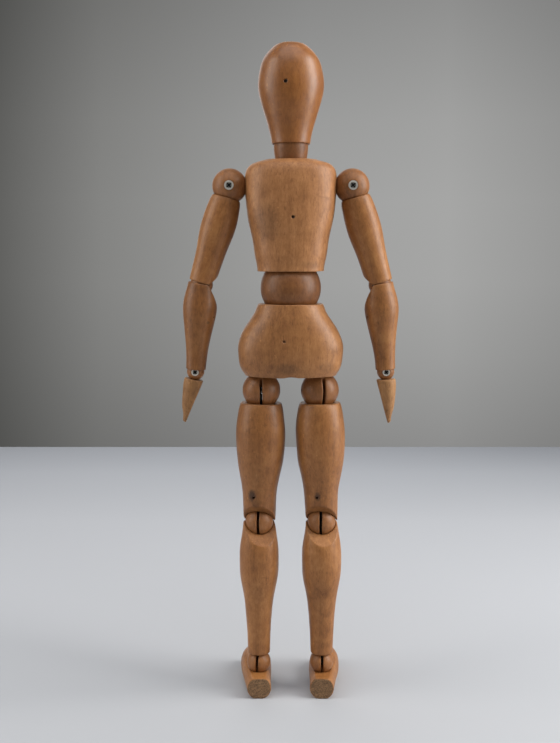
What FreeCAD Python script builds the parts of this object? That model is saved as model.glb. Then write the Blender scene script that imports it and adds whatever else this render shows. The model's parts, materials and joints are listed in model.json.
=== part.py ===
import FreeCAD, Part
import math
import os

V = FreeCAD.Vector

# An articulated wooden artist mannequin, 300 mm tall, standing on its own feet.
# +Z is up, the figure faces -Y, and +X is the figure's left.
# All lengths are in mm and all angles in degrees.

# ---- joint centres -----------------------------------------------------------
NECK = V(0, 0, 253.2)
SHOULDER = V(27.6, 0, 237.4)
ELBOW = V(40.7, 0, 193.2)
WRIST = V(43.8, 0, 153.2)
WAIST = V(0, 0, 191.7)
HIP = V(13.5, 0, 144.6)
KNEE = V(14.6, 0, 82.5)
ANKLE = V(15.0, 0, 13.7)

# ---- ball radii and the air between a ball and its socket ---------------------
NECK_R = 8.3
SHOULDER_R = 7.9
ELBOW_R = 5.2
WRIST_R = 4.0
WAIST_R = 13.8
HIP_R = 8.75
KNEE_R = 6.6
ANKLE_R = 5.65
SOCKET_GAP = 0.14
CLEAR = 2.0
THROUGH = 30.0

# ---- turned and shaped wood ---------------------------------------------------
HEAD_FOOT_Z = 255.8
HEAD_PROFILE = [(0, 8.6), (4.2, 9.3), (10.9, 11.1), (17.9, 13.3), (25.2, 14.7),
                (31.9, 14.0), (36.9, 12.4), (41.9, 8.2), (44.2, 0)]
NECK_PROFILE = [(-7.2, 6.6), (-4, 7.1), (1.5, 7.75), (4, 7.5), (7.2, 6.7)]
CHEST_SECTIONS = [(199.2, 15.2, 13.3), (206, 16.3, 13.9), (213, 17.3, 14.3), (220, 18.8, 14.8),
                  (228, 20.1, 15.1), (236, 20.6, 15.1), (241, 20.55, 14.8), (245, 19.6, 13.8),
                  (247.4, 16.8, 12.2), (248.9, 12.0, 9.9)]
PELVIS_SECTIONS = [(151.6, 20.9, 13.3), (153.5, 22.1, 14.0), (156.5, 23.4, 14.8), (160.5, 23.95, 15.3),
                   (165, 24.1, 15.5), (169, 23.1, 15.4), (173, 21.3, 15.1), (177.5, 18.4, 14.6),
                   (181.5, 16.0, 13.9), (184.5, 14.7, 13.3)]
OVAL_POWER = 2.25
OVAL_POINTS = 16
CROTCH_ARCH_R = 13
CROTCH_ARCH_RISE = 0.4
THIGH_PROFILE = [(0.2, 7.45), (8, 7.7), (15, 8.15), (22, 9.4), (28, 10.5), (36, 11.25),
                 (43.5, 11.4), (50, 10.75), (54, 10.05), (56.3, 9.3)]
SHIN_PROFILE = [(4.7, 5.2), (10, 5.35), (18, 5.75), (27, 6.5), (35, 7.6), (41, 8.7),
                (49, 9.25), (56, 9.1), (62, 8.2), (68.6, 7.4)]
UPPER_ARM_PROFILE = [(0.9, 5.95), (8, 6.3), (16, 6.85), (22, 7.5), (26.5, 7.8), (31, 7.75),
                     (36, 7.35), (39, 6.95), (40.8, 6.4)]
FOREARM_PROFILE = [(0.9, 4.5), (6, 4.75), (12, 5.3), (18, 6.2), (24, 7.2), (30, 7.8),
                   (34, 7.4), (38, 6.5), (42, 5.9)]
HAND_PROFILE = [(3.6, 4.4), (6.5, 4.5), (12, 3.9), (18, 2.7), (22, 1.5), (24.2, 0)]
FOOT_PROFILE = [(0, 5.6), (6, 5.9), (13, 6.5), (20, 7.1), (27, 7.25), (34, 6.6), (39.5, 4.8),
                (43.5, 0)]
HEEL = V(15.6, 11.5, 5.1)
FOOT_RISE = 1.5
TOE_OUT = 4.5
NOTCH_FLOOR_Z = 9.9
NOTCH_WIDTH = 7.8
NOTCH_DEPTH = 16.0
PALM_OFFSET = 4.3
PALM_START = 4.0
PALM_TAPER = 0.2
NECK_CORE_R = 6.5
NECK_PIN_REACH = 7.0
HAND_LEAN = {1: 12.0, -1: 3.5}

# ---- seams and scoops that let the knees and elbows fold -----------------------
SEAM_HALF_GAP = 0.25
KNEE_FOLD = {1: -6.0, -1: -6.0}
THIGH_SCOOP = {1: -10.0, -1: -10.0}
SHIN_SCOOP = {1: 14.0, -1: 6.0}
THIGH_SCOOP_SLOPE = 45
SHIN_SCOOP_SLOPE = 45
KNEE_RELIEF = 1.1
ELBOW_FORWARD = 40
UPPER_ARM_SCOOP_SLOPE = 38
FOREARM_SCOOP_SLOPE = 52
ELBOW_RELIEF = 0.6
UPPER_ARM_SEAM = 0.35
FOREARM_SEAM = 0.35
HIP_SLOT_TURN = {1: 0.0, -1: 12.0}
ANKLE_SLOT_TURN = {1: -10.0, -1: 0.0}

# ---- steel ---------------------------------------------------------------------
SLOT_WIDTH = 1.2
ELBOW_SLOT_WIDTH = 1.9
PIN_R = 0.6
EYE_R = 1.5
EYE_THICK = 0.48
EYE_SHIFT = 0.29
EYE_CLEARANCE = 0.05
EYE_TAB = 2.4
WIRE_R = 0.42
COIL_R = 1.6
COIL_PITCH = 1.7
ARM_ANGLE = 35
BORE_R = 2.4
BORE_PAST_PIN = 4
FOREARM_BORE_R = 2.2
PIN_BURIAL = 0.25
WIRE_HOLE_R = 0.95
ROD_R = 0.75
RING_R = 1.9
SCREW_R = 0.9
HEAD_PIN_Z = 281.3
HEAD_PIN_SKEW = -10.1
PELVIS_ROD_Z = 167.0
PELVIS_ROD_HALF = 22.6
EYE_START = EYE_R + 0.3
RING_START = RING_R - 0.15
WASHER_THICK = 1.1
WASHER_R = 2.25
WASHER_HOLE_R = 1.6
WASHER_START = 1.95
SCREW_PROUD = 0.1
SCREW_RIM = 0.3
CROSS_WIDTH = 0.55
CROSS_DEPTH = 0.7
CROSS_LENGTH = 1.3
CROSS_TURN = 40
SCREW_HUB_R = EYE_R + 0.8
SHOULDER_HEAD_R = 2.1
SHOULDER_TAIL = 6.2
WRIST_HEAD_R = 1.7
WRIST_TAIL = 3.3
HEAD_PIN_BACK = 13.4
HEAD_PIN_FRONT = 8.0

# ---- where each coil starts and ends, measured from the wire's first fitting ----
HEAD_COIL = (12, 24)
TORSO_COIL = (17.5, 34)
WAIST_COIL = (15.5, 20)
HIP_COIL = (10.5, 18.5)
THIGH_COIL = (18, 40)
SHIN_COIL = (16, 40)
UPPER_ARM_COIL = (11, 30)
FOREARM_COIL = (12, 26)
SHOULDER_COIL_FROM = 10
SHOULDER_COIL_GAP = 4

# ---- half the opening angle of each saw slot -------------------------------------
NECK_SLOT = 42
WAIST_SLOT = 45
HIP_SLOT = 134
FOLD_SLOT = 112
ANKLE_SLOT = 88
SHOULDER_SLOT = 72
WRIST_SLOT = 48
ANKLE_SLOT_RISE = 0.75
SHOULDER_SLOT_DROP = 0.9

# ---- small assembly holes that show on the back ------------------------------------
MARK_HOLE_R = 0.65
FOREARM_HOLE_R = 0.5
HOLE_REACH = 12
CHEST_HOLE = V(-1, 20, 223.2)
PEG_PIT = V(3, 14.6, 168.2)
THIGH_HOLE_Z = 95.3
THIGH_HOLE_TURN = -18
FOREARM_HOLE = V(41.7, 0, 178.4)
FOREARM_HOLE_WAY = V(-12, 5, 0)

UP = V(0, 0, 1)
BACK = V(0, 1, 0)
LEFT = V(1, 0, 0)
ORIGIN = V(0, 0, 0)


# ---- helpers -------------------------------------------------------------------
def unit(vector):
    """A copy of the vector with length one."""
    return V(vector).normalize()


def turned_about_z(vector, degrees):
    """The vector turned about the vertical."""
    return FreeCAD.Rotation(UP, degrees).multVec(vector)


def side_point(point, side):
    """A point of the left side, or its mirror image for the right side."""
    return V(point.x * side, point.y, point.z)


def put(shape, origin, z_axis, x_axis):
    """Carry a shape from the origin to a place with the given z and x directions."""
    turn = FreeCAD.Rotation(x_axis, z_axis.cross(x_axis), z_axis, "ZXY")
    shape.Placement = FreeCAD.Placement(origin, turn).multiply(shape.Placement)
    return shape


def across(axis):
    """A direction square to the axis, as near to +X as it can be."""
    guess = LEFT if abs(axis.x) < 0.8 else BACK
    return unit(guess - axis * guess.dot(axis))


def rod(start, end, radius):
    """Round bar between two points."""
    return Part.makeCylinder(radius, (end - start).Length, start, end - start)


def turned(profile, start, axis):
    """Wood turned about the axis; profile holds (distance along, radius) pairs."""
    points = [V(radius, 0, along) for along, radius in profile]
    curve = Part.BSplineCurve()
    if profile[-1][1] == 0:
        tangents = [V(0, 0, 1)] * (len(points) - 1) + [V(-1, 0, 0)]
        flags = [False] * (len(points) - 1) + [True]
        curve.interpolate(Points=points, Tangents=tangents, TangentFlags=flags)
    else:
        curve.interpolate(points)
    low, high = V(0, 0, profile[0][0]), V(0, 0, profile[-1][0])
    edges = [Part.makeLine(low, points[0]), curve.toShape()]
    if profile[-1][1] > 0:
        edges.append(Part.makeLine(points[-1], high))
    edges.append(Part.makeLine(high, low))
    solid = Part.Face(Part.Wire(edges)).revolve(ORIGIN, UP, 360)
    return put(solid, start, axis, across(axis))


def oval(height, half_width, half_depth):
    """Closed oval outline, a little squarer than an ellipse."""
    points = []
    for step in range(OVAL_POINTS):
        angle = 2 * math.pi * step / OVAL_POINTS
        c, s = math.cos(angle), math.sin(angle)
        x = half_width * math.copysign(abs(c) ** (2 / OVAL_POWER), c)
        y = half_depth * math.copysign(abs(s) ** (2 / OVAL_POWER), s)
        points.append(V(x, y, height))
    curve = Part.BSplineCurve()
    curve.interpolate(Points=points, PeriodicFlag=True)
    return Part.Wire([curve.toShape()])


def oval_body(sections):
    """Solid skinned through ovals; sections hold (height, half width, half depth)."""
    return Part.makeLoft([oval(*section) for section in sections], True, False)


def half_space(point, outward, size=70):
    """Large block whose near face passes through the point; it lies on the outward side."""
    block = Part.makeBox(size, size, size, V(-size / 2, -size / 2, 0))
    return put(block, point, unit(outward), across(unit(outward)))


def fan(centre, pin_axis, middle, half_angle, radius, width=SLOT_WIDTH):
    """Flat wedge of a saw slot, square to the pin and opening around a middle direction."""
    wedge = Part.makeCylinder(radius, width, V(0, 0, -width / 2), UP, 2 * half_angle)
    wedge.rotate(ORIGIN, UP, -half_angle)
    wedge = put(wedge, centre, pin_axis, middle)
    eye_room = EYE_R + 0.4
    hub = rod(centre - pin_axis * width / 2, centre + pin_axis * width / 2, eye_room)
    return wedge.fuse(hub)


def slotted_ball(centre, radius, pin_axis, middle, half_angle, width=SLOT_WIDTH):
    """Ball with a saw slot and a hole for the cross pin."""
    ball = Part.makeSphere(radius, centre)
    ball = ball.cut(fan(centre, pin_axis, middle, half_angle, radius + CLEAR, width))
    reach = pin_axis * (radius + CLEAR)
    return ball.cut(rod(centre - reach, centre + reach, PIN_R))


def cross_pin(centre, radius, pin_axis):
    """Steel pin through a ball, its ends just below the wood."""
    reach = pin_axis * (math.sqrt(radius ** 2 - PIN_R ** 2) - PIN_BURIAL)
    return rod(centre - reach, centre + reach, PIN_R)


def eye(centre, pin_axis, toward, shift, pin_r=PIN_R):
    """Flattened wire eye that rides on a pin, with a tab towards the wire."""
    middle = centre + pin_axis * (EYE_SHIFT * shift)
    half = pin_axis * (EYE_THICK / 2)
    outer_r = EYE_R + pin_r - PIN_R
    disc = rod(middle - half, middle + half, outer_r)
    tab = Part.makeBox(EYE_THICK, 2 * WIRE_R, outer_r + EYE_TAB - EYE_R,
                       V(-EYE_THICK / 2, -WIRE_R, 0))
    tab = put(tab, middle, toward, pin_axis)
    hole = rod(middle - half * 2, middle + half * 2, pin_r + EYE_CLEARANCE)
    return disc.fuse(tab).cut(hole)


def ring(centre, normal, major=RING_R):
    """Round wire ring."""
    return Part.makeTorus(major, WIRE_R, centre, normal)


def coil(start, end):
    """Helical spring between two points, with a cross wire to the axis at each end."""
    length = (end - start).Length
    turns = max(2, round(length / COIL_PITCH))
    helix = Part.makeHelix(length / turns, length, COIL_R)
    climb = V(0, 2 * math.pi * COIL_R, length / turns)
    section = Part.Wire([Part.makeCircle(WIRE_R, V(COIL_R, 0, 0), climb)])
    spring = Part.Wire(helix.Edges).makePipeShell([section], True, True)
    arms = []
    for height, angle in ((0, ARM_ANGLE), (length, -ARM_ANGLE)):
        way = turned_about_z(LEFT, angle)
        level = UP * (height + length / turns * angle / 360)
        arms.append(rod(level - way * 0.2, level + way * COIL_R, WIRE_R))
    spring = spring.fuse(arms)
    return put(spring, start, unit(end - start), across(unit(end - start)))


def hook_spring(start, end, coil_span, first, last):
    """Pull spring: an end fitting, wire, coil, wire and the other end fitting, in one piece."""
    axis = unit(end - start)
    coil_start = start + axis * coil_span[0]
    coil_end = start + axis * coil_span[1]
    shape = coil(coil_start, coil_end)
    shape = shape.fuse(rod(start + axis * first[1], coil_start, WIRE_R))
    shape = shape.fuse(rod(coil_end, end - axis * last[1], WIRE_R))
    return shape.fuse([first[0], last[0]])


# ---- trunk ---------------------------------------------------------------------
def socket(centre, radius):
    """Space for a ball with its air gap."""
    return Part.makeSphere(radius + SOCKET_GAP, centre)


def make_head():
    """Egg-shaped head with a socket, a spring bore and a nail hole at the back."""
    head = turned(HEAD_PROFILE, V(0, 0, HEAD_FOOT_Z), UP)
    head = head.cut(socket(NECK, NECK_R))
    head = head.cut(rod(NECK, V(0, 0, HEAD_PIN_Z + BORE_PAST_PIN), BORE_R))
    back, front = head_pin_ends()
    outside = back + unit(back - front) * CLEAR
    return head.cut(rod(outside, front, ROD_R))


def head_pin_ends():
    """Ends of the slightly skewed nail that holds the head spring."""
    way = turned_about_z(BACK, HEAD_PIN_SKEW)
    middle = V(0, 0, HEAD_PIN_Z)
    return middle + way * HEAD_PIN_BACK, middle - way * HEAD_PIN_FRONT


def make_neck_ball():
    """Barrel-sided ball between chest and head."""
    barrel = turned(NECK_PROFILE, NECK, UP)
    reach = NECK_R + CLEAR
    core = rod(NECK - UP * reach, NECK + UP * reach, NECK_CORE_R)
    shape = barrel.fuse(core).common(Part.makeSphere(NECK_R, NECK))
    shape = shape.cut(fan(NECK, LEFT, UP, NECK_SLOT, reach))
    shape = shape.cut(rod(NECK, NECK - UP * reach, WIRE_HOLE_R))
    return shape.cut(rod(NECK - LEFT * reach, NECK + LEFT * reach, PIN_R)).removeSplitter()


def make_chest():
    """Chest block with neck and waist sockets, shoulder dishes and spring bores."""
    chest = oval_body(CHEST_SECTIONS)
    chest = chest.cut(socket(NECK, NECK_R)).cut(socket(WAIST, WAIST_R))
    chest = chest.cut(rod(WAIST, NECK, BORE_R))
    for side in (1, -1):
        chest = chest.cut(socket(side_point(SHOULDER, side), SHOULDER_R))
    chest = chest.cut(rod(side_point(SHOULDER, -1), SHOULDER, BORE_R))
    return chest.cut(rod(CHEST_HOLE, V(0, 0, CHEST_HOLE.z), MARK_HOLE_R))


def make_pelvis():
    """Hip block with waist and hip sockets, spring bores and a cross rod hole."""
    pelvis = oval_body(PELVIS_SECTIONS)
    pelvis = pelvis.cut(socket(WAIST, WAIST_R))
    pelvis = pelvis.cut(rod(WAIST, V(0, 0, PELVIS_ROD_Z - BORE_PAST_PIN), BORE_R))
    for side in (1, -1):
        hip = side_point(HIP, side)
        pelvis = pelvis.cut(socket(hip, HIP_R))
        pelvis = pelvis.cut(rod(hip, V(hip.x, 0, PELVIS_ROD_Z + BORE_PAST_PIN), BORE_R))
    arch_z = PELVIS_SECTIONS[0][0] - CROTCH_ARCH_R + CROTCH_ARCH_RISE
    pelvis = pelvis.cut(rod(V(0, -THROUGH, arch_z), V(0, THROUGH, arch_z), CROTCH_ARCH_R))
    pelvis = pelvis.cut(rod(V(-THROUGH, 0, PELVIS_ROD_Z), V(THROUGH, 0, PELVIS_ROD_Z), ROD_R))
    return pelvis.cut(rod(PEG_PIT, PEG_PIT + BACK * CLEAR, MARK_HOLE_R))


def make_waist_ball():
    """Large plain ball; its slot opens only inside the chest socket."""
    ball = slotted_ball(WAIST, WAIST_R, LEFT, UP, WAIST_SLOT)
    return ball.cut(rod(WAIST, WAIST - UP * (WAIST_R + CLEAR), WIRE_HOLE_R))


def make_trunk():
    """All the pieces on the centre line."""
    rod_centre = V(0, 0, PELVIS_ROD_Z)
    rod_half = LEFT * PELVIS_ROD_HALF
    nodes = {
        "head": make_head(),
        "neck_ball": make_neck_ball(),
        "chest": make_chest(),
        "waist_ball": make_waist_ball(),
        "pelvis": make_pelvis(),
        "neck_pin": cross_pin(NECK, NECK_PIN_REACH, LEFT),
        "waist_pin": cross_pin(WAIST, WAIST_R, LEFT),
        "pelvis_rod": rod(rod_centre - rod_half, rod_centre + rod_half, ROD_R),
    }
    back, front = head_pin_ends()
    nodes["head_pin"] = rod(back, front, ROD_R)
    pin_slack = RING_R - WIRE_R - ROD_R - EYE_CLEARANCE
    head_ring = V(0, 0, HEAD_PIN_Z - pin_slack)
    nodes["head_spring"] = hook_spring(
        NECK, head_ring, HEAD_COIL,
        (eye(NECK, LEFT, UP, -1), EYE_START),
        (ring(head_ring, unit(back - front)), RING_START))
    nodes["torso_spring"] = hook_spring(
        WAIST, NECK, TORSO_COIL,
        (eye(WAIST, LEFT, UP, 1), EYE_START),
        (eye(NECK, LEFT, -UP, 1), EYE_START))
    rod_ring = V(0, 0, PELVIS_ROD_Z + pin_slack)
    nodes["waist_hook"] = hook_spring(
        WAIST, rod_ring, WAIST_COIL,
        (eye(WAIST, LEFT, -UP, -1), EYE_START),
        (ring(rod_ring, LEFT), RING_START))
    nodes["shoulder_spring"] = make_shoulder_spring()
    return nodes


def make_shoulder_spring():
    """Two coils joined by a washer that the torso wire passes through."""
    middle = V(0, 0, SHOULDER.z)
    half = UP * (WASHER_THICK / 2)
    shape = rod(middle - half, middle + half, WASHER_R)
    for side in (1, -1):
        shoulder = side_point(SHOULDER, side)
        inward = V(-side, 0, 0)
        end = middle - inward * WASHER_START
        coil_start = shoulder + inward * SHOULDER_COIL_FROM
        coil_end = end - inward * SHOULDER_COIL_GAP
        part = coil(coil_start, coil_end)
        part = part.fuse(rod(shoulder + inward * EYE_START, coil_start, WIRE_R))
        part = part.fuse(rod(coil_end, end, WIRE_R))
        shape = shape.fuse(part.fuse(eye(shoulder, BACK, inward, -1, SCREW_R)))
    return shape.cut(rod(middle - half * 2, middle + half * 2, WASHER_HOLE_R))


# ---- legs ----------------------------------------------------------------------
def scoop_tool(centre, up, fold, slope, relief, above):
    """Half space that scoops away one edge of a limb end, rising or falling along fold."""
    rise = math.radians(slope)
    start = centre - fold * relief
    if above:
        return half_space(start, fold * math.sin(rise) - up * math.cos(rise))
    return half_space(start, fold * math.sin(rise) + up * math.cos(rise))


def make_thigh(side, hip, knee):
    """Thigh with both sockets, a spring bore and the fold scoop at the back."""
    axis = unit(hip - knee)
    thigh = turned(THIGH_PROFILE, knee, axis)
    thigh = thigh.cut(socket(hip, HIP_R)).cut(socket(knee, KNEE_R))
    thigh = thigh.cut(rod(knee, hip, BORE_R))
    thigh = thigh.cut(half_space(knee + UP * SEAM_HALF_GAP, -UP))
    fold = turned_about_z(BACK, THIGH_SCOOP[side])
    seam = knee + UP * SEAM_HALF_GAP
    thigh = thigh.cut(scoop_tool(seam, UP, fold, THIGH_SCOOP_SLOPE, KNEE_RELIEF, True))
    hole_way = turned_about_z(BACK, THIGH_HOLE_TURN)
    hole_at = V(knee.x, 0, THIGH_HOLE_Z)
    return thigh.cut(rod(hole_at, hole_at + hole_way * HOLE_REACH, MARK_HOLE_R))


def make_shin(side, knee, ankle):
    """Shin with both sockets, a spring bore and the fold scoop at the back."""
    axis = unit(knee - ankle)
    shin = turned(SHIN_PROFILE, ankle, axis)
    shin = shin.cut(socket(knee, KNEE_R)).cut(socket(ankle, ANKLE_R))
    shin = shin.cut(rod(ankle, knee, BORE_R))
    shin = shin.cut(half_space(knee - UP * SEAM_HALF_GAP, UP))
    fold = turned_about_z(BACK, SHIN_SCOOP[side])
    seam = knee - UP * SEAM_HALF_GAP
    return shin.cut(scoop_tool(seam, UP, fold, SHIN_SCOOP_SLOPE, KNEE_RELIEF, False))


def make_foot(side, ankle):
    """Turned foot, cut flat below, with a notch and a dish for the ankle ball."""
    heel = side_point(HEEL, side)
    forward = V(0, -math.cos(math.radians(FOOT_RISE)), math.sin(math.radians(FOOT_RISE)))
    foot = turned(FOOT_PROFILE, heel, forward)
    foot = foot.cut(half_space(V(heel.x, 0, 0), -UP))
    notch = Part.makeBox(NOTCH_WIDTH, NOTCH_DEPTH, 20,
                         V(heel.x - NOTCH_WIDTH / 2, heel.y + 1 - NOTCH_DEPTH, NOTCH_FLOOR_Z))
    foot = foot.cut(notch)
    foot.rotate(ankle, UP, TOE_OUT * side)
    return foot.cut(Part.makeSphere(ANKLE_R, ankle))


def make_leg(side):
    """Every piece of one leg."""
    hip, knee, ankle = (side_point(point, side) for point in (HIP, KNEE, ANKLE))
    hip_axis = turned_about_z(LEFT, HIP_SLOT_TURN[side])
    knee_axis = turned_about_z(LEFT, KNEE_FOLD[side])
    ankle_axis = turned_about_z(LEFT, ANKLE_SLOT_TURN[side])
    thigh_way, shin_way = unit(knee - hip), unit(ankle - knee)
    nodes = {}
    ball = slotted_ball(hip, HIP_R, hip_axis, -UP, HIP_SLOT)
    nodes["hip_ball"] = ball.cut(rod(hip, hip + UP * (HIP_R + CLEAR), WIRE_HOLE_R))
    nodes["hip_pin"] = cross_pin(hip, HIP_R, hip_axis)
    rod_ring = V(hip.x, 0, PELVIS_ROD_Z - (RING_R - WIRE_R - ROD_R - EYE_CLEARANCE))
    nodes["hip_hook"] = hook_spring(
        hip, rod_ring, HIP_COIL,
        (eye(hip, hip_axis, UP, -1), EYE_START),
        (ring(rod_ring, LEFT), RING_START))
    nodes["thigh"] = make_thigh(side, hip, knee)
    nodes["thigh_spring"] = hook_spring(
        hip, knee, THIGH_COIL,
        (eye(hip, hip_axis, thigh_way, 1), EYE_START),
        (eye(knee, knee_axis, -thigh_way, -1), EYE_START))
    knee_back = turned_about_z(BACK, KNEE_FOLD[side])
    nodes["knee_ball"] = slotted_ball(knee, KNEE_R, knee_axis, knee_back, FOLD_SLOT)
    nodes["knee_pin"] = cross_pin(knee, KNEE_R, knee_axis)
    nodes["shin"] = make_shin(side, knee, ankle)
    nodes["shin_spring"] = hook_spring(
        knee, ankle, SHIN_COIL,
        (eye(knee, knee_axis, shin_way, 1), EYE_START),
        (eye(ankle, ankle_axis, -shin_way, -1), EYE_START))
    ankle_back = turned_about_z(BACK, ANKLE_SLOT_TURN[side])
    ankle_middle = unit(ankle_back + UP * ANKLE_SLOT_RISE)
    nodes["ankle_ball"] = slotted_ball(ankle, ANKLE_R, ankle_axis, ankle_middle, ANKLE_SLOT)
    nodes["ankle_pin"] = cross_pin(ankle, ANKLE_R, ankle_axis)
    nodes["foot"] = make_foot(side, ankle)
    return nodes


# ---- arms ----------------------------------------------------------------------
def screw(centre, ball_r, head_r, tail):
    """Cross-slotted countersunk screw along +Y, its head at the back of the ball."""
    head_y = math.sqrt(ball_r ** 2 - head_r ** 2) + SCREW_PROUD
    sink = head_r - SCREW_R
    top = centre + BACK * head_y
    cone = Part.makeCone(SCREW_R, head_r, sink, top - BACK * (sink + SCREW_RIM), BACK)
    rim = rod(top - BACK * SCREW_RIM, top, head_r)
    shank = rod(centre - BACK * tail, top - BACK * SCREW_RIM, SCREW_R)
    shape = cone.fuse(rim).fuse(shank)
    bar_length = head_r * CROSS_LENGTH
    first_way = FreeCAD.Rotation(BACK, CROSS_TURN).multVec(LEFT)
    for way in (first_way, first_way.cross(BACK)):
        corner = V(-CROSS_WIDTH / 2, -bar_length / 2, -CROSS_DEPTH)
        bar = Part.makeBox(CROSS_WIDTH, bar_length, CROSS_DEPTH + CLEAR, corner)
        shape = shape.cut(put(bar, top, BACK, way))
    return shape, cone.fuse(rim).fuse(rod(centre - BACK * tail, top, SCREW_R))


def screwed_ball(centre, radius, head_r, tail, middle, half_angle):
    """Ball with a saw slot square to Y and a countersunk cross screw."""
    ball = Part.makeSphere(radius, centre)
    slot = fan(centre, BACK, middle, half_angle, radius + CLEAR)
    hub = rod(centre - BACK * SLOT_WIDTH / 2, centre + BACK * SLOT_WIDTH / 2, SCREW_HUB_R)
    fitted, space = screw(centre, radius, head_r, tail)
    rim_y = math.sqrt(radius ** 2 - head_r ** 2)
    head_room = rod(centre + BACK * rim_y, centre + BACK * (radius + CLEAR), head_r)
    return ball.cut(slot).cut(hub).cut(space).cut(head_room), fitted


def make_arm(side):
    """Every piece of one arm."""
    shoulder, elbow, wrist = (side_point(point, side) for point in (SHOULDER, ELBOW, WRIST))
    arm_up, fore_up = unit(shoulder - elbow), unit(elbow - wrist)
    inward = V(-side, 0, 0)
    nodes = {}
    raise_middle = unit(V(side, 0, -SHOULDER_SLOT_DROP))
    ball, fitted = screwed_ball(
        shoulder, SHOULDER_R, SHOULDER_HEAD_R, SHOULDER_TAIL, raise_middle, SHOULDER_SLOT)
    nodes["shoulder_ball"] = ball.cut(rod(shoulder, shoulder + inward * (SHOULDER_R + CLEAR), WIRE_HOLE_R))
    nodes["shoulder_screw"] = fitted

    seam_up = unit(arm_up + fore_up)
    fold = turned_about_z(inward, side * ELBOW_FORWARD)
    fold = unit(fold - seam_up * fold.dot(seam_up))
    elbow_axis = seam_up.cross(fold)
    upper = turned(UPPER_ARM_PROFILE, elbow, arm_up)
    upper = upper.cut(socket(shoulder, SHOULDER_R)).cut(socket(elbow, ELBOW_R))
    upper = upper.cut(rod(elbow, shoulder, BORE_R))
    seam_centre = elbow + seam_up * UPPER_ARM_SEAM
    upper = upper.cut(half_space(seam_centre, -seam_up))
    nodes["upper_arm"] = upper.cut(
        scoop_tool(seam_centre, seam_up, fold, UPPER_ARM_SCOOP_SLOPE, ELBOW_RELIEF, True))
    nodes["upper_arm_spring"] = hook_spring(
        shoulder, elbow, UPPER_ARM_COIL,
        (eye(shoulder, BACK, -arm_up, 1, SCREW_R), EYE_START),
        (eye(elbow, elbow_axis, arm_up, -1), EYE_START))
    nodes["elbow_ball"] = slotted_ball(
        elbow, ELBOW_R, elbow_axis, fold, FOLD_SLOT, ELBOW_SLOT_WIDTH)
    nodes["elbow_pin"] = cross_pin(elbow, ELBOW_R, elbow_axis)

    fore = turned(FOREARM_PROFILE, wrist, fore_up)
    fore = fore.cut(socket(elbow, ELBOW_R)).cut(socket(wrist, WRIST_R))
    fore = fore.cut(rod(wrist, elbow, FOREARM_BORE_R))
    seam_centre = elbow + seam_up * FOREARM_SEAM
    fore = fore.cut(half_space(seam_centre, seam_up))
    fore = fore.cut(scoop_tool(seam_centre, seam_up, fold, FOREARM_SCOOP_SLOPE, ELBOW_RELIEF, False))
    hole_at = side_point(FOREARM_HOLE, side)
    hole_way = side_point(FOREARM_HOLE_WAY, side)
    nodes["forearm"] = fore.cut(rod(hole_at, hole_at + hole_way, FOREARM_HOLE_R))
    nodes["forearm_spring"] = hook_spring(
        elbow, wrist, FOREARM_COIL,
        (eye(elbow, elbow_axis, -fore_up, 1), EYE_START),
        (eye(wrist, BACK, fore_up, 1, SCREW_R), EYE_START))
    ball, fitted = screwed_ball(wrist, WRIST_R, WRIST_HEAD_R, WRIST_TAIL, UP, WRIST_SLOT)
    nodes["wrist_ball"], nodes["wrist_screw"] = ball, fitted
    nodes["hand"] = make_hand(side, wrist)
    return nodes


def make_hand(side, wrist):
    """Pointed hand, round outside and flat on the palm, dished for the wrist ball."""
    lean = math.radians(HAND_LEAN[side])
    down = V(side * math.sin(lean), 0, -math.cos(lean))
    hand = turned(HAND_PROFILE, wrist, down)
    palm = V(-side * math.cos(lean), 0, -math.sin(lean))
    palm_at = wrist + palm * PALM_OFFSET + down * PALM_START
    hand = hand.cut(half_space(palm_at, palm + down * PALM_TAPER))
    return hand.cut(Part.makeSphere(WRIST_R, wrist))


# ---- assembly --------------------------------------------------------------------
def make_figure():
    """Every named piece of the figure."""
    nodes = make_trunk()
    for side, name in ((1, "left"), (-1, "right")):
        for maker in (make_leg, make_arm):
            for node, shape in maker(side).items():
                nodes[f"{name}_{node}"] = shape
    return nodes


# Carries the figure so that the middle of its outline stands on the origin.
FRAME_SHIFT = V(-0.48, 8.15, 0)

os.makedirs("parts", exist_ok=True)
for node, shape in make_figure().items():
    if shape.ShapeType == "Compound" and len(shape.Solids) == 1:
        shape = shape.Solids[0]
    shape.translate(FRAME_SHIFT)
    shape.exportStep(f"parts/{node}.step")
    print(node, shape.isValid(), len(shape.Solids), round(shape.Volume, 1))
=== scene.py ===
import json
import math
import random

import bpy
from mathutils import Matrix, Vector, noise


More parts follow.
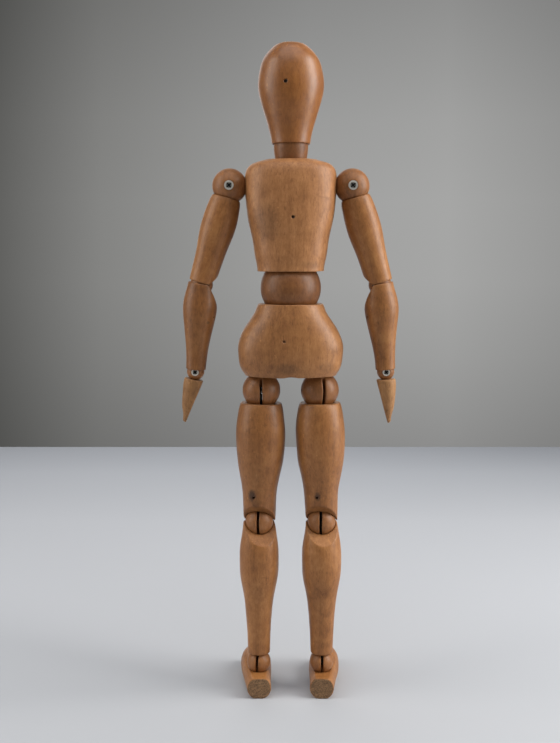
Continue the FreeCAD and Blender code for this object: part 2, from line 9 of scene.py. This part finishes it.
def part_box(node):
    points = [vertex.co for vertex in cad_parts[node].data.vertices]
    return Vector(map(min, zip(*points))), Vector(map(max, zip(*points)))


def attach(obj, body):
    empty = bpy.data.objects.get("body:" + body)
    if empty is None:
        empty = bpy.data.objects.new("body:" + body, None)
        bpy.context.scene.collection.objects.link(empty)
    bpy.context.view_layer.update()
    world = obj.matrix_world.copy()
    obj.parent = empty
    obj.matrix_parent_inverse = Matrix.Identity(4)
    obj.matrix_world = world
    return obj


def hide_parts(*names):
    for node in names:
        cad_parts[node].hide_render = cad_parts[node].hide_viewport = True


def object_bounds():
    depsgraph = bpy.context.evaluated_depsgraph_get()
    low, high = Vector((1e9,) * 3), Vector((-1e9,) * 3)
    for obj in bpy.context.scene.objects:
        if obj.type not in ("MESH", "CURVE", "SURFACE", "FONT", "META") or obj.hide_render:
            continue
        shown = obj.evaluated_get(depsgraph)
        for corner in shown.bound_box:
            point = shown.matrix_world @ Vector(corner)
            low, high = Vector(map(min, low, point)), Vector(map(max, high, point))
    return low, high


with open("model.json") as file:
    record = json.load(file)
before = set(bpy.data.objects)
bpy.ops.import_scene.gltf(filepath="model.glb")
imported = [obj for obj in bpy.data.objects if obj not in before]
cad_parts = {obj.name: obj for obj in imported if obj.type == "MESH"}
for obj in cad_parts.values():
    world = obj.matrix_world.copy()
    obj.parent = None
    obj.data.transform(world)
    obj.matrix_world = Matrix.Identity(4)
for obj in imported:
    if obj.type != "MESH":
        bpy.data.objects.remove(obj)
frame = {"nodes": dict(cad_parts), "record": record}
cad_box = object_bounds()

# Looks of the wooden figure: soft-edged copies of the wooden pieces with hand-turned unevenness,
# procedural wood and steel, a pale floor and soft studio light.
# Lengths are in metres, unless a comment says mm.

MM = 0.001
# where the figure's own upright axis stands in the frame
shift = Vector((-0.48, 8.15, 0)) * MM
record = frame["record"]
nodes = frame["nodes"]
slots = {part["node"]: part["material_slot"] for part in record["subparts"]}
bodies = record["behaviour"]["bodies"]
node_body = {node: body for body, members in bodies.items() for node in members}


def linear(red, green, blue):
    """An 8-bit screen colour as linear light."""
    def channel(value):
        value /= 255
        return value / 12.92 if value <= 0.04045 else ((value + 0.055) / 1.055) ** 2.4
    return channel(red), channel(green), channel(blue), 1.0


# ---- woods and steels ----------------------------------------------------------------
TONES = {
    "head_wood": dict(light=linear(180, 120, 62), middle=linear(156, 98, 46), dark=linear(124, 74, 34),
                      gloss=0.30, varnish=0.42, flecks=0.30, grime=0.24),
    "chest_wood": dict(light=linear(188, 134, 86), middle=linear(162, 110, 66), dark=linear(128, 82, 46),
                       gloss=0.40, varnish=0.16, flecks=0.50, grime=0.45),
    "hip_wood": dict(light=linear(188, 134, 84), middle=linear(162, 110, 64), dark=linear(128, 82, 46),
                     gloss=0.38, varnish=0.20, flecks=0.48, grime=0.42),
    "limb_wood": dict(light=linear(180, 126, 74), middle=linear(154, 101, 54), dark=linear(120, 75, 37),
                      gloss=0.38, varnish=0.20, flecks=0.46, grime=0.40),
    "ball_wood": dict(light=linear(168, 114, 68), middle=linear(142, 92, 50), dark=linear(108, 67, 34),
                      gloss=0.40, varnish=0.18, flecks=0.40, grime=0.42),
    "hand_wood": dict(light=linear(184, 138, 92), middle=linear(156, 112, 70), dark=linear(120, 84, 50),
                      gloss=0.50, varnish=0.06, flecks=0.44, grime=0.45),
}
# steel: colour, roughness and how much tarnish
STEELS = {
    "pin_steel": (linear(84, 78, 72), 0.38, 0.5),
    "spring_steel": (linear(60, 58, 56), 0.38, 0.5),
    "screw_steel": (linear(226, 221, 210), 0.34, 0.15),
}
# dark smudges on the back, and painted shade in the small holes there, in mm: x, z, half width, half
# height, and strength
SPOTS = {
    "head": [(2.4, 281.3, 0.9, 1.1, 0.55)],
    "chest": [(-1, 223.2, 0.8, 0.8, 1.0), (11, 221, 6.5, 9.0, 0.30), (-9, 202, 5.0, 2.0, 0.22)],
    "pelvis": [(3, 168.2, 1.0, 0.8, 0.40), (1.5, 156, 5.5, 3.0, 0.34), (-16, 156, 4.0, 3.0, 0.22)],
    "left_thigh": [(17.0, 95.3, 0.8, 1.0, 1.0), (17.8, 96.4, 1.9, 3.3, 0.75),
                   (16, 92.5, 2.4, 3.0, 0.30)],
    "right_thigh": [(-12.2, 95.3, 0.9, 1.2, 1.0), (-12.4, 96.0, 1.5, 2.2, 0.72)],
    "left_forearm": [(37.5, 176, 0.8, 0.8, 0.5)],
}
# how light a piece is against the others of its wood; 1 where none is given
SHADE = {"head": 0.78, "neck_ball": 0.74, "chest": 1.02, "waist_ball": 0.66, "pelvis": 0.90,
         "left_upper_arm": 0.92, "right_upper_arm": 0.96, "left_forearm": 0.72,
         "right_forearm": 0.90, "left_thigh": 0.80, "right_thigh": 0.94, "left_hand": 0.92,
         "right_hand": 0.98, "left_hip_ball": 0.86, "right_hip_ball": 0.82}
RAW_ENDS = 0.30
RAW_HEEL = 0.85
# tint for stains, scuffs and the painted shade in hollows
DIRT_AND_SHADE_TINT = (0.45, 0.37, 0.31, 1)
FLECK_TINT = (0.42, 0.34, 0.28, 1)
WORN_TINT = (1.25, 1.2, 1.15, 1)
# colour of the dark smudges and of the painted shade in small holes
HOLE_SHADE_AND_SMUDGE = linear(34, 22, 14)
END_DARK, END_LIGHT = linear(78, 58, 40), linear(150, 118, 84)
# tarnish colour, and the painted shade in steel hollows
RUST, CREVICE_SHADE = linear(96, 70, 48), linear(34, 28, 24)
# painted shade in a screw head's dish and cross
SCREW_DISH_SHADE, SCREW_CROSS_SHADE = linear(40, 34, 29), linear(14, 12, 10)
# how much shorter each pattern looks along the grain than it is
GRAIN_STRETCH, FLECK_STRETCH, SPECKLE_STRETCH, SCUFF_STRETCH = 0.07, 0.16, 0.45, 0.5
FIRST_WOOD_SEED = 100
FIRST_STEEL_SEED = 300
# how far the surface wanders and over what distance, both in mm
BALL_UNEVEN = 0.04, 5
WOOD_UNEVEN = 0.20, 11
VOXEL = 0.34 * MM
SMOOTHING = 2


# ---- node helpers ----------------------------------------------------------------
class Graph:
    """A short way to write the nodes of a material or a world."""

    def __init__(self, owner, output="ShaderNodeOutputMaterial"):
        owner.use_nodes = True
        self.owner = owner
        self.tree = owner.node_tree
        self.tree.nodes.clear()
        self.out = self.add(output)
        self.coords = self.add("ShaderNodeTexCoord")

    def add(self, kind, **settings):
        node = self.tree.nodes.new(kind)
        for key, value in settings.items():
            setattr(node, key, value)
        return node

    def link(self, source, target):
        self.tree.links.new(source, target)

    def feed(self, target, value):
        """Connects a socket, or sets a plain value."""
        if isinstance(value, bpy.types.NodeSocket):
            self.link(value, target)
        else:
            target.default_value = value

    def math(self, operation, a, b=0.0, clamp=False):
        node = self.add("ShaderNodeMath", operation=operation, use_clamp=clamp)
        self.feed(node.inputs[0], a)
        self.feed(node.inputs[1], b)
        return node.outputs[0]

    def plus(self, total, pattern, weight, clamp=False):
        """The total with a weighted pattern added."""
        return self.math("ADD", total, self.math("MULTIPLY", pattern, weight), clamp)

    def vector(self, operation, a, b=(0, 0, 0)):
        node = self.add("ShaderNodeVectorMath", operation=operation)
        self.feed(node.inputs[0], a)
        self.feed(node.inputs[1], b)
        gives_number = operation in ("DOT_PRODUCT", "LENGTH")
        return node.outputs["Value" if gives_number else "Vector"]

    def in_mm(self, vector):
        """The same vector in millimetres."""
        return self.vector("MULTIPLY", vector, (1 / MM, 1 / MM, 1 / MM))

    def ramp(self, factor, *stops):
        """A colour ramp; each stop is (position, colour)."""
        node = self.add("ShaderNodeValToRGB")
        elements = node.color_ramp.elements
        while len(elements) < len(stops):
            elements.new(0.5)
        for element, (position, colour) in zip(elements, stops):
            element.position = position
            element.color = (*colour[:3], 1)
        self.feed(node.inputs[0], factor)
        return node.outputs[0]

    def mask(self, factor, start, full):
        """0 at start, 1 at full, smooth between; start may be the greater."""
        node = self.add("ShaderNodeMapRange", interpolation_type="SMOOTHSTEP")
        self.feed(node.inputs["Value"], factor)
        node.inputs["From Min"].default_value = start
        node.inputs["From Max"].default_value = full
        return node.outputs["Result"]

    def mix(self, factor, a, b, blend="MIX"):
        node = self.add("ShaderNodeMix", data_type="RGBA", blend_type=blend)
        self.feed(node.inputs[0], factor)
        self.feed(node.inputs[6], a)
        self.feed(node.inputs[7], b)
        return node.outputs[2]

    def tinted(self, colour, tint):
        """A colour multiplied by another."""
        return self.mix(1.0, colour, tint, "MULTIPLY")

    def noise(self, vector, scale, detail=3.0, rough=0.55, distortion=0.0):
        node = self.add("ShaderNodeTexNoise")
        self.link(vector, node.inputs["Vector"])
        node.inputs["Scale"].default_value = scale
        node.inputs["Detail"].default_value = detail
        node.inputs["Roughness"].default_value = rough
        node.inputs["Distortion"].default_value = distortion
        return node.outputs["Fac"]

    def bump(self, height, distance, strength=1.0, normal=None):
        node = self.add("ShaderNodeBump")
        self.feed(node.inputs["Height"], height)
        node.inputs["Distance"].default_value = distance
        node.inputs["Strength"].default_value = strength
        if normal:
            self.link(normal, node.inputs["Normal"])
        return node.outputs["Normal"]

    def principled(self, **values):
        """Ends the material in one surface shader."""
        node = self.add("ShaderNodeBsdfPrincipled")
        for key, value in values.items():
            self.feed(node.inputs[key.replace("_", " ")], value)
        self.link(node.outputs[0], self.out.inputs["Surface"])
        return self.owner


# ---- wood --------------------------------------------------------------------------
def marks(g, along, spots):
    """Mask of the dark smudges on a piece's back, and of the painted shade in its small holes."""
    back = g.mask(g.vector("DOT_PRODUCT", g.coords.outputs["Normal"], (0, 1, 0)), 0.1, 0.4)
    place = g.in_mm(g.coords.outputs["Object"])
    warp = g.math("MULTIPLY", g.math("SUBTRACT", g.noise(along, 1.3, 4, 0.7), 0.5), 1.1)
    total = 0.0
    for x, z, wide, tall, strength in spots:
        away = g.vector("SUBTRACT", place, (x + shift.x / MM, 0, z))
        away = g.vector("MULTIPLY", away, (1 / wide, 0, 1 / tall))
        reach = g.math("ADD", g.vector("LENGTH", away), warp)
        spot = g.math("MULTIPLY", g.mask(reach, 1.25, 0.35), strength)
        total = g.math("MAXIMUM", total, spot)
    return g.math("MULTIPLY", total, back)


def grain_space(g, axis, seed):
    """Coordinates in mm with the grain along z, moved to a place of the piece's own."""
    rng = random.Random(seed)
    place = g.add("ShaderNodeMapping")
    g.link(g.coords.outputs["Object"], place.inputs["Vector"])
    turn = Vector((0, 0, 1)).rotation_difference(Vector(axis)).inverted()
    place.inputs["Rotation"].default_value = turn.to_euler()
    place.inputs["Location"].default_value = [rng.uniform(-0.5, 0.5) for _ in range(3)]
    return g.in_mm(place.outputs[0])


def wood(name, axis, seed, light, middle, dark, gloss, varnish, flecks, grime, spots, shade, raw_ends):
    """Aged, varnished wood whose grain runs along axis, in the piece's own coordinates."""
    g = Graph(bpy.data.materials.new(name))
    along = grain_space(g, axis, seed)
    grain = g.vector("MULTIPLY", along, (1, 1, GRAIN_STRETCH))
    fleck_space = g.vector("MULTIPLY", along, (1, 1, FLECK_STRETCH))
    speckle_space = g.vector("MULTIPLY", along, (1, 1, SPECKLE_STRETCH))
    scuff_space = g.vector("MULTIPLY", along, (1, 1, SCUFF_STRETCH))

    # body colour: streaks, clouds, year rings and fine speckle
    tone = g.noise(along, 0.045, 3, 0.5)
    streak = g.noise(grain, 0.42, 4, 0.62, 0.6)
    blotch = g.noise(along, 0.16, 4, 0.6, 0.8)
    fine = g.noise(grain, 2.6, 3, 0.7)
    speckle = g.noise(speckle_space, 1.0, 4, 0.75)
    ring_place = g.vector("DOT_PRODUCT", grain, (0.9, 0.5, 0.25))
    ring_place = g.plus(ring_place, g.noise(grain, 0.16, 2, 0.5), 7.5)
    rings = g.math("MULTIPLY", g.math("SINE", g.math("MULTIPLY", ring_place, 1.7)), 0.5)
    body = 0.0
    for pattern, weight in ((streak, 0.26), (tone, 0.36), (blotch, 0.38), (rings, 0.035),
                            (g.math("SUBTRACT", fine, 0.5), 0.20),
                            (g.math("SUBTRACT", speckle, 0.5), 0.46)):
        body = g.plus(body, pattern, weight)
    colour = g.ramp(body, (0.28, dark), (0.50, middle), (0.74, light))
    colour = g.tinted(colour, (shade, shade ** 1.15, shade ** 1.4, 1))

    # short dark flecks, raw end grain and worn edges
    fleck = g.mask(g.noise(fleck_space, 1.7, 3, 0.7), 0.55, 0.68)
    colour = g.mix(g.math("MULTIPLY", fleck, flecks), colour, g.tinted(colour, FLECK_TINT))
    facing = g.vector("DOT_PRODUCT", g.coords.outputs["Normal"], tuple(axis))
    end_grain = g.mask(g.math("ABSOLUTE", facing), 0.80, 0.97)
    pores = g.mask(g.noise(along, 1.5, 4, 0.75), 0.36, 0.62)
    end_tone = g.mix(pores, END_DARK, END_LIGHT)
    colour = g.mix(g.math("MULTIPLY", end_grain, raw_ends), colour, end_tone)
    edge = g.add("ShaderNodeNewGeometry").outputs["Pointiness"]
    patchy = g.mask(g.noise(along, 0.55, 3, 0.6), 0.35, 0.62)
    worn = g.math("MULTIPLY", g.mask(edge, 0.53, 0.62), patchy)
    colour = g.mix(g.math("MULTIPLY", worn, 0.45), colour, g.tinted(light, WORN_TINT))

    # stains and scuffs, and painted shade in the hollows
    hollow_shade = g.mask(edge, 0.47, 0.36)
    stain = g.mask(g.noise(along, 0.11, 5, 0.65, 1.5), 0.56, 0.74)
    scuff = g.mask(g.noise(scuff_space, 0.8, 6, 0.75), 0.66, 0.74)
    dirt_and_hollow_shade = g.plus(g.math("MULTIPLY", stain, grime), hollow_shade, 0.75, clamp=True)
    dirt_and_hollow_shade = g.plus(dirt_and_hollow_shade, scuff, grime * 0.8, clamp=True)
    # darkens stains and scuffs, and paints shade into the hollows
    colour = g.mix(dirt_and_hollow_shade, colour, g.tinted(colour, DIRT_AND_SHADE_TINT))
    # dark smudges, and painted shade in the small holes
    colour = g.mix(marks(g, along, spots), colour, HOLE_SHADE_AND_SMUDGE)

    rough = g.plus(gloss, g.noise(along, 0.35, 4, 0.6), 0.22)
    rough = g.plus(rough, dirt_and_hollow_shade, 0.18)
    rough = g.plus(rough, end_grain, 0.25, clamp=True)
    height = g.plus(g.math("MULTIPLY", fine, 0.6), fleck, -0.35)
    height = g.plus(height, scuff, -0.3)
    rolling = g.bump(g.noise(along, 0.18, 2, 0.5), 0.35 * MM, 0.5)
    return g.principled(Base_Color=colour, Roughness=rough, Coat_Weight=varnish, Coat_Roughness=0.30,
                        Specular_IOR_Level=0.32, Normal=g.bump(height, 0.07 * MM, 0.9, rolling))


# ---- steel -------------------------------------------------------------------------
def screw_shadow(g, colour, box):
    """Paints shade into the dish and the cross of a screw whose head looks along +Y."""
    low_corner, high_corner = box
    axis_point = (low_corner + high_corner) / 2
    radius = (high_corner.x - low_corner.x) / 2
    head = (axis_point.x, high_corner.y, axis_point.z)
    away = g.vector("SUBTRACT", g.coords.outputs["Object"], head)
    depth = g.vector("DOT_PRODUCT", away, (0, -1, 0))
    reach = g.vector("LENGTH", g.vector("MULTIPLY", away, (1, 0, 1)))
    dish = g.math("MULTIPLY", g.mask(reach, radius * 0.74, radius * 0.46), 0.80)
    colour = g.mix(dish, colour, SCREW_DISH_SHADE)
    return g.mix(g.mask(depth, 0.15 * MM, 0.40 * MM), colour, SCREW_CROSS_SHADE)


def steel(name, seed, tone, rough, tarnish, screw_box=None):
    """Plain steel with fine drawing marks, a little tarnish and painted shade in its hollows."""
    g = Graph(bpy.data.materials.new(name))
    rng = random.Random(seed)
    place = g.in_mm(g.coords.outputs["Object"])
    place = g.vector("ADD", place, tuple(rng.uniform(-50, 50) for _ in range(3)))
    rust = g.mask(g.noise(place, 0.9, 5, 0.7), 0.48, 0.68)
    colour = g.mix(g.math("MULTIPLY", rust, tarnish), tone, RUST)
    edge = g.add("ShaderNodeNewGeometry").outputs["Pointiness"]
    # painted shade in the steel's hollows
    colour = g.mix(g.mask(edge, 0.48, 0.38), colour, CREVICE_SHADE)
    if screw_box:
        colour = screw_shadow(g, colour, screw_box)
    lines = g.noise(g.vector("MULTIPLY", place, (6, 6, 0.7)), 1.6, 3, 0.6)
    wear = g.plus(g.math("MULTIPLY", lines, 0.15), rust, 0.3)
    shine = g.math("SUBTRACT", 0.85, g.math("MULTIPLY", rust, 0.5))
    return g.principled(Base_Color=colour, Metallic=shine, Roughness=g.math("ADD", rough, wear),
                        Normal=g.bump(lines, 0.02 * MM, 0.6))


# ---- pieces ------------------------------------------------------------------------
def soft_copy(node, uneven, wave, seed):
    """A copy of a CAD node with eased edges and the slight unevenness of hand turning."""
    piece = bpy.data.objects.new(f"{node}_wood", nodes[node].data.copy())
    bpy.context.scene.collection.objects.link(piece)
    for kind, settings in (
        ("WELD", {"merge_threshold": 0.002 * MM}),
        ("REMESH", {"mode": "VOXEL", "voxel_size": VOXEL, "use_smooth_shade": True}),
        ("SMOOTH", {"factor": 0.5, "iterations": SMOOTHING}),
    ):
        modifier = piece.modifiers.new(kind.title(), kind)
        for key, value in settings.items():
            setattr(modifier, key, value)
    depsgraph = bpy.context.evaluated_depsgraph_get()
    baked = bpy.data.meshes.new_from_object(piece.evaluated_get(depsgraph))
    piece.modifiers.clear()
    piece.data = baked
    baked.materials.clear()
    offset = Vector((seed * 3.1, seed * 1.7, seed * 2.3))
    normals = [Vector(v.normal) for v in baked.vertices]
    for vertex, normal in zip(baked.vertices, normals):
        spot = vertex.co / wave + offset
        vertex.co += normal * (noise.noise(spot) * uneven)
    baked.shade_smooth()
    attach(piece, node_body[node])
    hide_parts(node)
    return piece


def grain_axis(node):
    """The way the grain runs in a piece, which is the axis it was turned about."""
    sign = {"left": 1, "right": -1}.get(node.split("_")[0], 0)
    if node.endswith("foot"):
        return Vector((0.156 * sign, -0.988, 0.06)).normalized()
    if "upper_arm" in node:
        return Vector((-0.284 * sign, 0, 0.959))
    if "hand" in node:
        return Vector((-0.14 * sign, 0, 0.99)).normalized()
    return Vector((0, 0, 1))


for index, node in enumerate(sorted(nodes)):
    slot = slots[node]
    if slot in TONES:
        uneven, wave = BALL_UNEVEN if "ball" in node else WOOD_UNEVEN
        piece = soft_copy(node, uneven * MM, wave * MM, index + 1)
        look = wood(f"{node}_grain", grain_axis(node), FIRST_WOOD_SEED + index, **TONES[slot],
                    spots=SPOTS.get(node, ()), shade=SHADE.get(node, 1.0),
                    raw_ends=RAW_HEEL if node.endswith("foot") else RAW_ENDS)
        piece.data.materials.append(look)
    else:
        screw_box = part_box(node) if slot == "screw_steel" else None
        look = steel(f"{node}_steel", FIRST_STEEL_SEED + index, *STEELS[slot], screw_box)
        nodes[node].data.materials.clear()
        nodes[node].data.materials.append(look)


# ---- floor, light and camera ---------------------------------------------------------
FLOOR_HALF = 0.75
# distance from the figure's axis to the floor's far edge
FLOOR_REACH = 0.592
# brightness of the floor from the figure to the far edge
FLOOR_SHADE = ((0.0, (0.90, 0.90, 0.895)), (0.25, (0.96, 0.96, 0.96)), (0.50, (1, 1, 1)),
               (0.80, (0.90, 0.91, 0.92)), (1.0, (0.72, 0.73, 0.75)))
FLOOR_SHADE_LENGTH = 0.576
# painted light and shade on the wall: its colour from the picture's left to its right, and its
# brightness from below to above
WALL_ACROSS = ((0.0, linear(98, 98, 96)), (0.18, linear(132, 132, 130)), (0.55, linear(160, 160, 159)),
               (0.80, linear(166, 166, 165)), (1.0, linear(152, 152, 151)))
WALL_UPRIGHT = ((0.40, 0.70), (0.52, 0.88), (0.62, 0.99), (0.73, 1.0), (0.84, 0.93), (1.0, 0.72))
ROOM_LIGHT = (0.80, 0.83, 0.88, 1)
ROOM_STRENGTH = 0.17
# each lamp: place, size, power and colour
LAMPS = {
    "left_soft": ((0.55, 0.12, 0.40), (0.35, 0.7), 2.5, (1.0, 0.97, 0.92)),
    "right_soft": ((-0.55, 0.10, 0.40), (0.35, 0.7), 5.8, (1.0, 0.98, 0.94)),
    "top_soft": ((0.0, 0.20, 0.95), (0.8, 0.8), 3.2, (0.96, 0.98, 1.0)),
    "front_soft": ((0.1, -0.75, 0.45), (0.7, 0.7), 1.8, (1.0, 0.98, 0.96)),
}
# camera place from the foot of the figure's axis, in mm, and how far it looks down, in degrees
CAMERA_AT = (4.9, 458, 208.8)
CAMERA_DOWN = 6.93
CAMERA_LENS = 48.45


def stage_floor():
    """Pale floor whose far edge shows behind the figure."""
    mesh = bpy.data.meshes.new("floor")
    far = shift.y - FLOOR_REACH
    corners = [(-FLOOR_HALF, far, 0), (FLOOR_HALF, far, 0),
               (FLOOR_HALF, FLOOR_HALF, 0), (-FLOOR_HALF, FLOOR_HALF, 0)]
    mesh.from_pydata(corners, [], [(0, 1, 2, 3)])
    floor = bpy.data.objects.new("floor", mesh)
    bpy.context.scene.collection.objects.link(floor)
    g = Graph(bpy.data.materials.new("floor_card"))
    place = g.coords.outputs["Object"]
    colour = g.mix(g.noise(place, 3.0, 3, 0.5), linear(186, 189, 195), linear(192, 194, 199))
    away = g.math("DIVIDE", g.vector("DOT_PRODUCT", place, (0, -1, 0)), FLOOR_SHADE_LENGTH)
    colour = g.tinted(colour, g.ramp(away, *FLOOR_SHADE))
    paper = g.bump(g.noise(place, 900, 3, 0.6), 0.05 * MM, 0.3)
    mesh.materials.append(g.principled(Base_Color=colour, Roughness=0.75, Specular_IOR_Level=0.2,
                                       Normal=paper))


def area_light(name, place, size, power, colour):
    """A soft rectangular lamp aimed at the figure's middle."""
    lamp = bpy.data.lights.new(name, "AREA")
    lamp.shape = "RECTANGLE"
    lamp.size, lamp.size_y = size
    lamp.energy = power
    lamp.color = colour
    lamp_object = bpy.data.objects.new(name, lamp)
    bpy.context.scene.collection.objects.link(lamp_object)
    lamp_object.location = place
    aim = (Vector(cad_box[0]) + Vector(cad_box[1])) / 2 - Vector(place)
    lamp_object.rotation_euler = aim.to_track_quat("-Z", "Y").to_euler()


def backdrop():
    """Grey wall seen as the world's colour, with painted light and shade, darker to the left; a soft
    grey light otherwise.
    """
    world = bpy.data.worlds.new("studio")
    bpy.context.scene.world = world
    g = Graph(world, "ShaderNodeOutputWorld")
    split = g.add("ShaderNodeSeparateXYZ")
    g.link(g.coords.outputs["Window"], split.inputs[0])
    greys = [(position, (level, level, level)) for position, level in WALL_UPRIGHT]
    shown = g.add("ShaderNodeBackground")
    g.feed(shown.inputs["Color"], g.ramp(split.outputs[0], *WALL_ACROSS))
    g.feed(shown.inputs["Strength"], g.ramp(split.outputs[1], *greys))
    lit = g.add("ShaderNodeBackground")
    g.feed(lit.inputs["Color"], ROOM_LIGHT)
    g.feed(lit.inputs["Strength"], ROOM_STRENGTH)
    choose = g.add("ShaderNodeMixShader")
    g.feed(choose.inputs[0], g.add("ShaderNodeLightPath").outputs["Is Camera Ray"])
    g.feed(choose.inputs[1], lit.outputs[0])
    g.feed(choose.inputs[2], shown.outputs[0])
    g.link(choose.outputs[0], g.out.inputs["Surface"])


def place_camera():
    """Camera behind the figure, a little above its waist."""
    data = bpy.data.cameras.new("camera")
    data.sensor_width = 36
    data.lens = CAMERA_LENS
    data.clip_start = 0.01
    camera = bpy.data.objects.new("camera", data)
    bpy.context.scene.collection.objects.link(camera)
    camera.location = Vector(CAMERA_AT) * MM + shift
    camera.rotation_euler = (math.radians(90 - CAMERA_DOWN), 0, math.radians(180))
    bpy.context.scene.camera = camera


stage_floor()
backdrop()
for name, (place, size, power, colour) in LAMPS.items():
    area_light(name, place, size, power, colour)
place_camera()
bpy.context.scene.view_settings.view_transform = "Standard"

bpy.context.view_layer.update()
